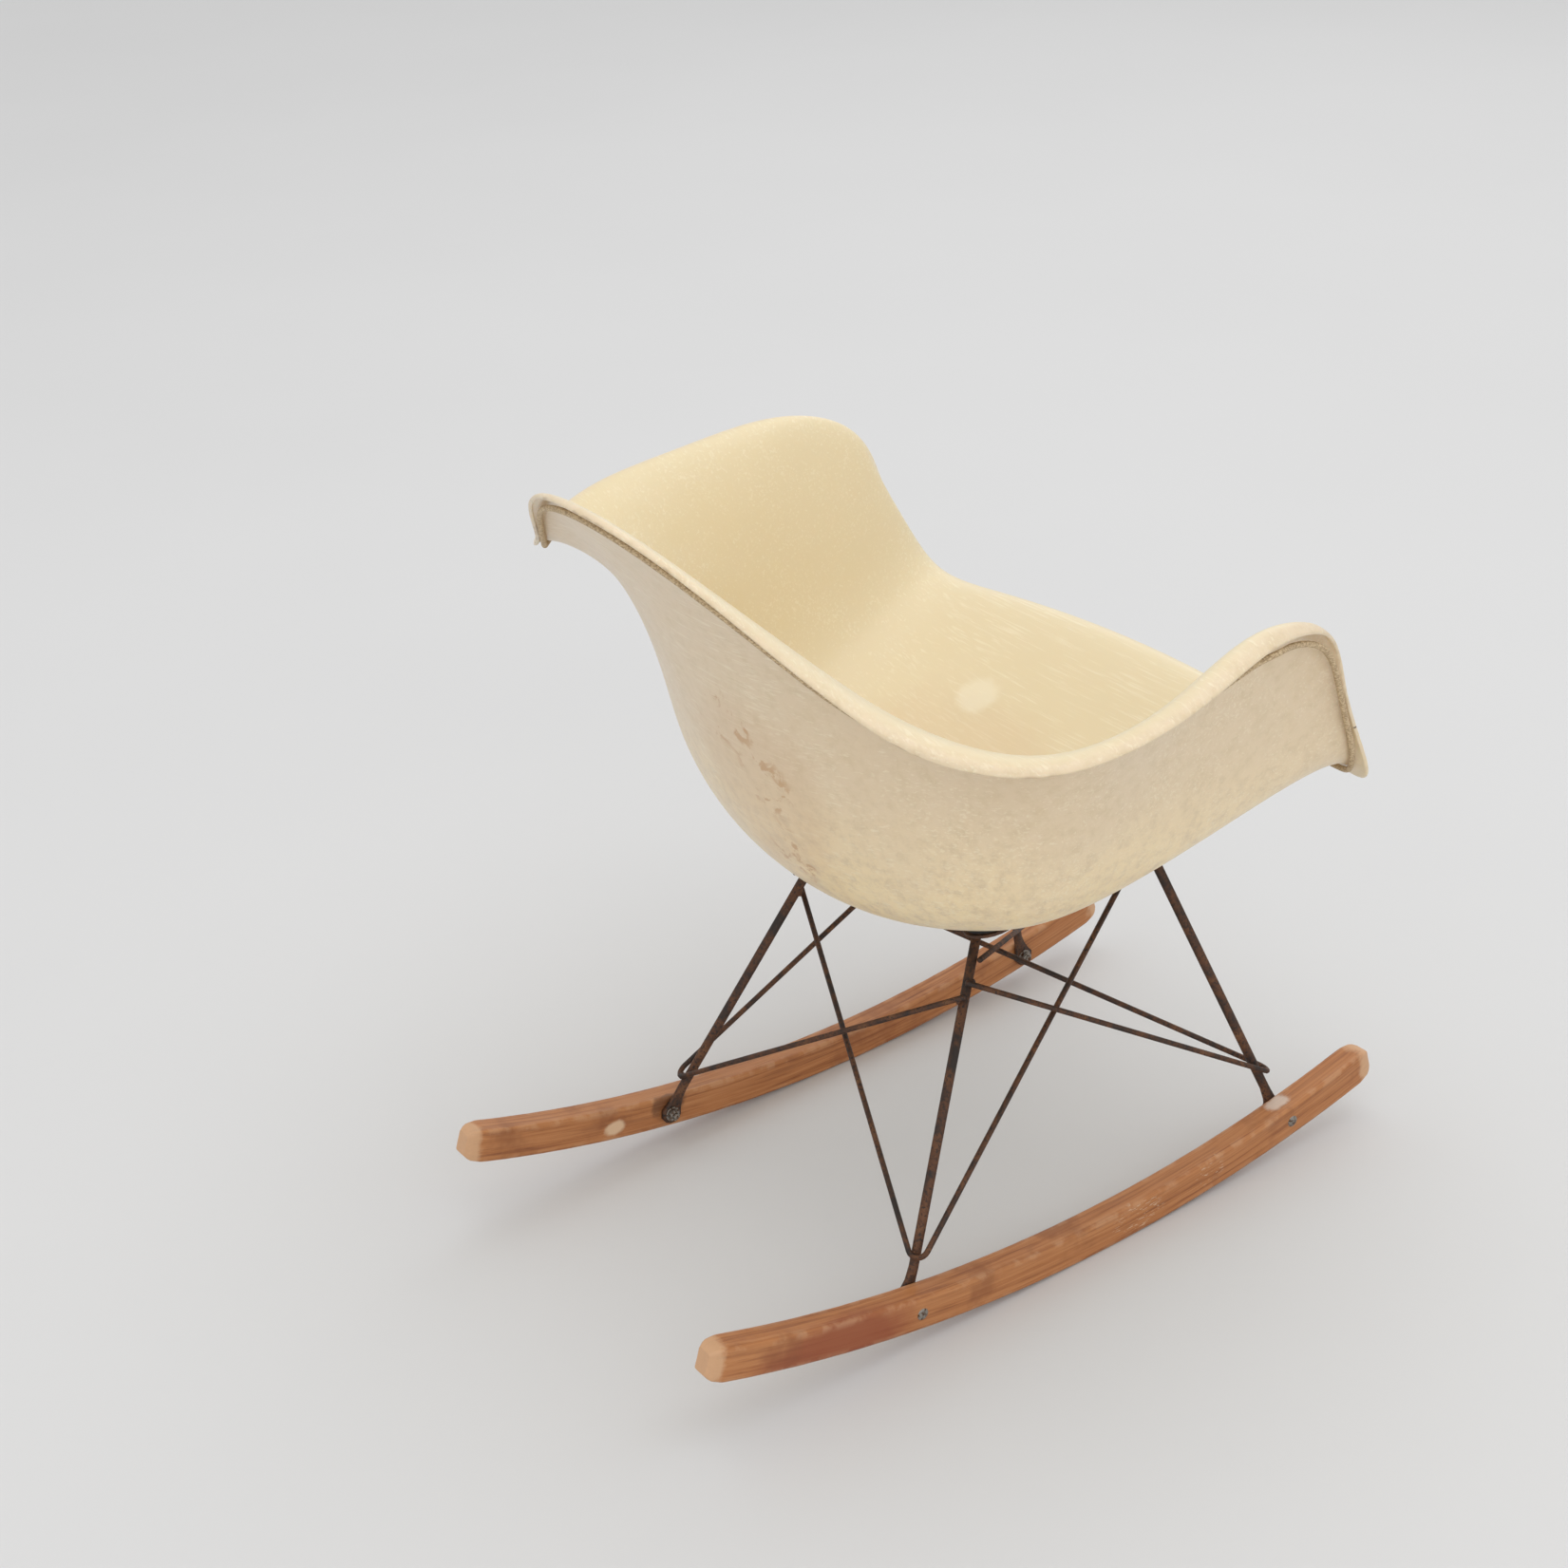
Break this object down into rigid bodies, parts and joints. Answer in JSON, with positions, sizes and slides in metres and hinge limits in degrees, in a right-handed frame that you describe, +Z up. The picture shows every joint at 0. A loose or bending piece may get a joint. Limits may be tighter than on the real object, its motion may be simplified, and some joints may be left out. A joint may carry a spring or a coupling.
{
  "type": "rocking chair",
  "caption": "Rocking armchair with a moulded glass-fibre bucket shell on a braced steel wire base and two bent wood rockers.",
  "frame": {"origin": "on the floor, below the middle of the rockers' length and midway between them", "axes": "+Z up, the chair faces -Y, +X is the sitter's left"},
  "size_m": [0.6534, 0.6907, 0.6745],
  "materials": {
    "fibreglass": "satin, translucent, with visible glass fibres",
    "cord": "worn cord in resin",
    "birch": "worn orange-brown stain",
    "rusted_steel": "dark, rusted",
    "dull_steel": "dull, oxidised",
    "rubber": "matte"
  },
  "bodies": {
    "root": {"brace_front_left": "rusted_steel", "brace_front_right": "rusted_steel", "brace_rear_left": "rusted_steel", "brace_rear_right": "rusted_steel", "leg_front_left": "rusted_steel", "leg_front_right": "rusted_steel", "leg_rear_left": "rusted_steel", "leg_rear_right": "rusted_steel", "mount_plate_front_left": "rusted_steel", "mount_plate_front_right": "rusted_steel", "mount_plate_rear_left": "rusted_steel", "mount_plate_rear_right": "rusted_steel", "mount_screw_front_left": "dull_steel", "mount_screw_front_right": "dull_steel", "mount_screw_rear_left": "dull_steel", "mount_screw_rear_right": "dull_steel", "mount_washer_front_left": "dull_steel", "mount_washer_front_right": "dull_steel", "mount_washer_rear_left": "dull_steel", "mount_washer_rear_right": "dull_steel", "rim_cord": "cord", "rocker_bolt_front_left": "dull_steel", "rocker_bolt_front_right": "dull_steel", "rocker_bolt_rear_left": "dull_steel", "rocker_bolt_rear_right": "dull_steel", "rocker_left": "birch", "rocker_nut_front_left": "rusted_steel", "rocker_nut_front_right": "rusted_steel", "rocker_nut_rear_left": "rusted_steel", "rocker_nut_rear_right": "rusted_steel", "rocker_right": "birch", "rocker_washer_front_left": "dull_steel", "rocker_washer_front_right": "dull_steel", "rocker_washer_rear_left": "dull_steel", "rocker_washer_rear_right": "dull_steel", "seat_shell": "fibreglass", "shock_mount_front_left": "rubber", "shock_mount_front_right": "rubber", "shock_mount_rear_left": "rubber", "shock_mount_rear_right": "rubber", "spreader_front": "rusted_steel", "spreader_rear": "rusted_steel"}
  },
  "joints": []
}
